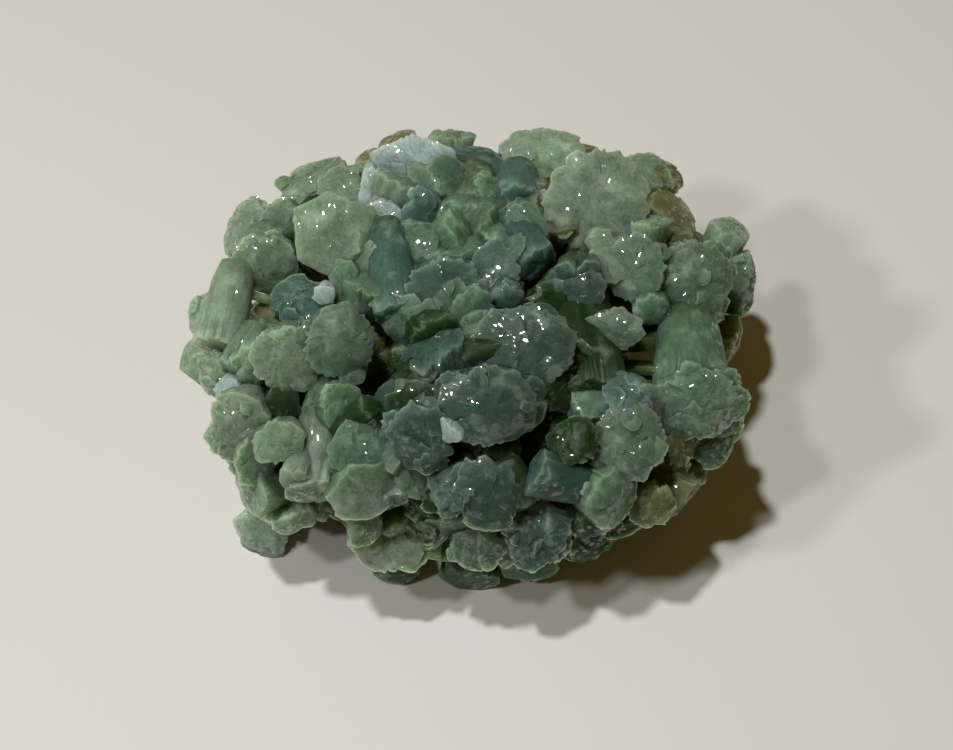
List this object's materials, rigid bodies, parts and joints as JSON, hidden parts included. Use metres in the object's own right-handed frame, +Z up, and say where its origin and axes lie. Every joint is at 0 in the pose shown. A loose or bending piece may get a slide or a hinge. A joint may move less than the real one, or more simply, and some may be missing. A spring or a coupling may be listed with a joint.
{
  "type": "prehnite cluster",
  "caption": "Natural cluster of green prehnite, intergrown fan-shaped crystal bundles fused into one open rounded mass with a flat broken base for display.",
  "frame": {"origin": "middle of the box round the cluster, on the plane of its flat broken base", "axes": "+X to the right along the longest width, +Z up with the cluster resting on its base, the showy side faces -Y and up"},
  "size_m": [0.1158, 0.0995, 0.059],
  "materials": {
    "prehnite": null
  },
  "bodies": {
    "root": {"prehnite_cluster": "prehnite"}
  },
  "joints": []
}
